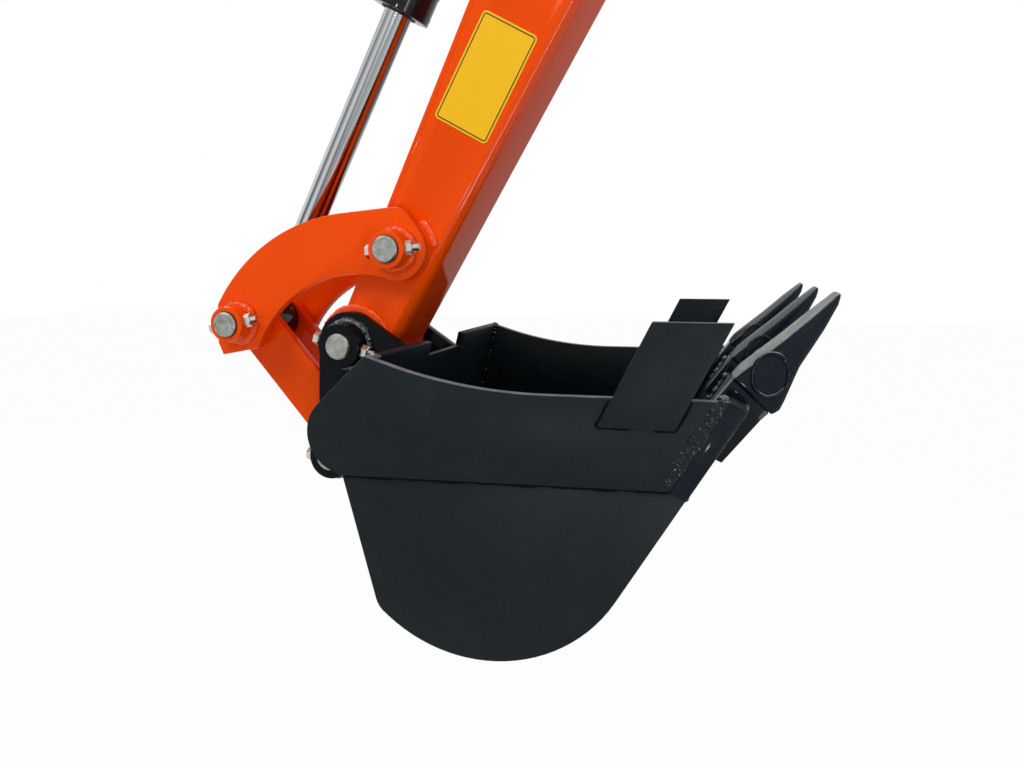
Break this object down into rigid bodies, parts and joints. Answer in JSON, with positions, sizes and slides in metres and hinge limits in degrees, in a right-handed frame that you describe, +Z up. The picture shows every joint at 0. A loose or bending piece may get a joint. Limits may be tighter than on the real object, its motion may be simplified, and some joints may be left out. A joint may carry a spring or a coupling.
{
  "type": "mini excavator dipper arm with bucket",
  "caption": "Pressed box dipper arm of a small excavator with its rocker and link, bucket cylinder and a toothed digging bucket that curls on the arm's end.",
  "frame": {"origin": "centre of the boom pivot bore at the arm's upper end, on the middle plane", "axes": "+Y along the pins to the arm's right side, +Z up, +X towards the machine with the bucket curled below"},
  "size_m": [0.6609, 0.416, 1.1671],
  "materials": {
    "arm_orange": "gloss",
    "bucket_black": "satin",
    "cylinder_black": "gloss",
    "pin_steel": "turned",
    "rod_chrome": "polished"
  },
  "bodies": {
    "arm": {"arm_channel": "arm_orange", "arm_cover": "arm_orange", "arm_bulkhead": "arm_orange", "bucket_pivot_tube": "arm_orange", "rocker_pivot_tube": "arm_orange", "boom_pivot_tube": "arm_orange", "arm_cylinder_boss_left": "arm_orange", "arm_cylinder_boss_right": "arm_orange", "cylinder_bracket_left": "arm_orange", "cylinder_bracket_right": "arm_orange", "cylinder_base_pin": "pin_steel"},
    "rocker": {"rocker_left": "arm_orange", "rocker_right": "arm_orange", "rocker_pin": "pin_steel", "knuckle_pin_ends": "pin_steel"},
    "link": {"link_left": "arm_orange", "link_right": "arm_orange", "link_tube": "arm_orange", "knuckle_pin_link": "pin_steel"},
    "barrel": {"barrel": "cylinder_black", "base_eye": "cylinder_black", "gland": "cylinder_black"},
    "rod": {"rod": "rod_chrome", "rod_eye": "cylinder_black", "knuckle_pin_rod": "pin_steel"},
    "bucket": {"bucket_wrapper": "bucket_black", "bucket_side_left": "bucket_black", "bucket_side_right": "bucket_black", "bucket_sheet_left": "bucket_black", "bucket_sheet_right": "bucket_black", "bucket_lip": "bucket_black", "side_cutter_left": "bucket_black", "side_cutter_right": "bucket_black", "adapter_left": "bucket_black", "adapter_middle": "bucket_black", "adapter_right": "bucket_black", "tooth_left": "bucket_black", "tooth_middle": "bucket_black", "tooth_right": "bucket_black", "ear_left": "bucket_black", "ear_right": "bucket_black", "bucket_pin": "pin_steel", "link_pin": "pin_steel"}
  },
  "joints": [
    {"name": "bucket_curl", "type": "hinge", "parent": "arm", "child": "bucket", "pos_m": [-0.41618, 0, -0.70654], "axis": [0, 1, 0], "range_deg": [0, 165]},
    {"name": "link_swing", "type": "hinge", "parent": "bucket", "child": "link", "pos_m": [-0.43114, 0, -0.82661], "axis": [0, 1, 0], "range_deg": [-120, 2]},
    {"name": "rocker_swing", "type": "hinge", "parent": "arm", "child": "rocker", "pos_m": [-0.36017, 0, -0.60652], "axis": [0, 1, 0], "range_deg": [-2, 105]},
    {"name": "barrel_swing", "type": "hinge", "parent": "arm", "child": "barrel", "pos_m": [-0.17922, 0, 0.02084], "axis": [0, 1, 0], "range_deg": [-3, 8]},
    {"name": "rod_slide", "type": "slide", "parent": "barrel", "child": "rod", "axis": [-0.4645, 0, -0.8856], "range_m": [-0.3192, 0.001]}
  ],
  "couplings": [
    {"joint": "link_swing", "follows": "bucket_curl", "ratio": -0.69977},
    {"joint": "rocker_swing", "follows": "bucket_curl", "ratio": 0.61032},
    {"joint": "barrel_swing", "follows": "bucket_curl", "ratio": 0.000389},
    {"joint": "rod_slide", "follows": "bucket_curl", "m_per_rad": -0.11016}
  ]
}
